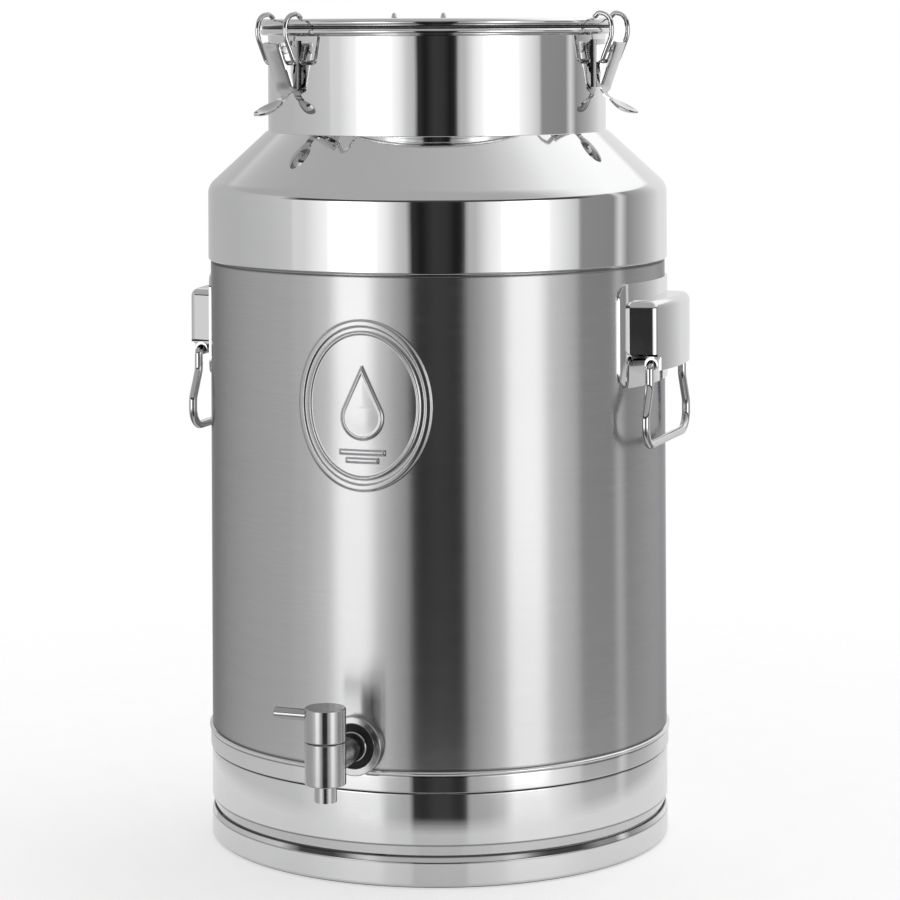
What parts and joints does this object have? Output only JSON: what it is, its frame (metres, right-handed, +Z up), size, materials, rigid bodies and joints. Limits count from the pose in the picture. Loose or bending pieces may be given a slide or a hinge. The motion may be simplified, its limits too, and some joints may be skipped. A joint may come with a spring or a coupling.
{
  "type": "milk can",
  "caption": "Cylindrical stainless milk can with a narrowed neck, clamped lid, drop handles at the sides and a quarter-turn outlet tap low on the front.",
  "frame": {"origin": "centre of the foot ring's bottom face, on the can's axis", "axes": "+Z up along the can's axis; -Y is the front, where the outlet tap is; the drop handles are at +X and -X"},
  "size_m": [0.398, 0.4352, 0.6443],
  "materials": {
    "wall_brushed": "circumferentially brushed",
    "shell_polished": "mirror polished",
    "fittings_steel": "bright polished wire and sheet",
    "tap_satin": "satin turned",
    "rubber_black": "matt",
    "silicone_grey": "matt"
  },
  "bodies": {
    "can": {"body_wall": "wall_brushed", "shoulder_shell": "shell_polished", "neck_collar": "shell_polished", "vessel_floor": "shell_polished", "base_skirt": "shell_polished", "seam_band": "shell_polished", "foot_ring": "shell_polished", "tap_boss_ring": "tap_satin", "tap_gasket_outer": "rubber_black", "tap_gasket_inner": "rubber_black", "tap_washer_inner": "tap_satin", "tap_locknut": "tap_satin", "tap_body": "tap_satin", "tap_bonnet": "tap_satin", "handle_plate_left": "shell_polished", "handle_bracket_left": "shell_polished", "handle_barrel_left": "fittings_steel", "handle_plate_right": "shell_polished", "handle_bracket_right": "shell_polished", "handle_barrel_right": "fittings_steel", "clip_base_a": "fittings_steel", "clip_pin_a": "fittings_steel", "clip_base_b": "fittings_steel", "clip_pin_b": "fittings_steel", "clip_base_c": "fittings_steel", "clip_pin_c": "fittings_steel"},
    "lid": {"lid_disc": "shell_polished", "lid_seal": "silicone_grey", "lid_handle": "fittings_steel", "lid_handle_rivets": "fittings_steel"},
    "clip_lever_a": {"clip_lever_a": "fittings_steel"},
    "clip_bail_a": {"clip_bail_a": "fittings_steel"},
    "clip_lever_b": {"clip_lever_b": "fittings_steel"},
    "clip_bail_b": {"clip_bail_b": "fittings_steel"},
    "clip_lever_c": {"clip_lever_c": "fittings_steel"},
    "clip_bail_c": {"clip_bail_c": "fittings_steel"},
    "handle_ring_right": {"handle_ring_right": "fittings_steel"},
    "handle_ring_left": {"handle_ring_left": "fittings_steel"},
    "tap_key": {"tap_plug": "tap_satin", "tap_plug_seals": "rubber_black", "tap_head": "tap_satin", "tap_head_screw": "tap_satin", "tap_lever_rod": "tap_satin"}
  },
  "joints": [
    {"name": "lid_lift", "type": "slide", "parent": "can", "child": "lid", "axis": [0, 0, 1], "range_m": [0, 0.034]},
    {"name": "clip_lever_hinge_a", "type": "hinge", "parent": "can", "child": "clip_lever_a", "pos_m": [-0.08717, -0.11824, 0.615], "axis": [-0.8049, 0.5934, 0], "range_deg": [0, 110]},
    {"name": "clip_bail_hinge_a", "type": "hinge", "parent": "clip_lever_a", "child": "clip_bail_a", "pos_m": [-0.0851, -0.11542, 0.605], "axis": [0.8049, -0.5934, 0], "range_deg": [0, 185]},
    {"name": "clip_lever_hinge_b", "type": "hinge", "parent": "can", "child": "clip_lever_b", "pos_m": [0.14689, -0.00128, 0.615], "axis": [-0.0087, -1, 0], "range_deg": [0, 110]},
    {"name": "clip_bail_hinge_b", "type": "hinge", "parent": "clip_lever_b", "child": "clip_bail_b", "pos_m": [0.14339, -0.00125, 0.605], "axis": [0.0087, 1, 0], "range_deg": [0, 185]},
    {"name": "clip_lever_hinge_c", "type": "hinge", "parent": "can", "child": "clip_lever_c", "pos_m": [-0.06486, 0.13181, 0.615], "axis": [0.8973, 0.4415, 0], "range_deg": [0, 110]},
    {"name": "clip_bail_hinge_c", "type": "hinge", "parent": "clip_lever_c", "child": "clip_bail_c", "pos_m": [-0.06331, 0.12867, 0.605], "axis": [-0.8973, -0.4415, 0], "range_deg": [0, 185]},
    {"name": "handle_swing_right", "type": "hinge", "parent": "can", "child": "handle_ring_right", "pos_m": [0.1872, 0, 0.3755], "axis": [0, -1, 0], "range_deg": [0, 95]},
    {"name": "handle_swing_left", "type": "hinge", "parent": "can", "child": "handle_ring_left", "pos_m": [-0.1872, 0, 0.3755], "axis": [0, 1, 0], "range_deg": [0, 95]},
    {"name": "tap_turn", "type": "hinge", "parent": "can", "child": "tap_key", "pos_m": [0, -0.2385, 0.1035], "axis": [0, 0, 1], "range_deg": [0, 90]}
  ],
  "couplings": [
    {"joint": "clip_lever_hinge_a", "follows": "lid_lift", "rad_per_m": 56.46},
    {"joint": "clip_bail_hinge_a", "follows": "lid_lift", "rad_per_m": 94.95},
    {"joint": "clip_lever_hinge_b", "follows": "lid_lift", "rad_per_m": 56.46},
    {"joint": "clip_bail_hinge_b", "follows": "lid_lift", "rad_per_m": 94.95},
    {"joint": "clip_lever_hinge_c", "follows": "lid_lift", "rad_per_m": 56.46},
    {"joint": "clip_bail_hinge_c", "follows": "lid_lift", "rad_per_m": 94.95}
  ]
}
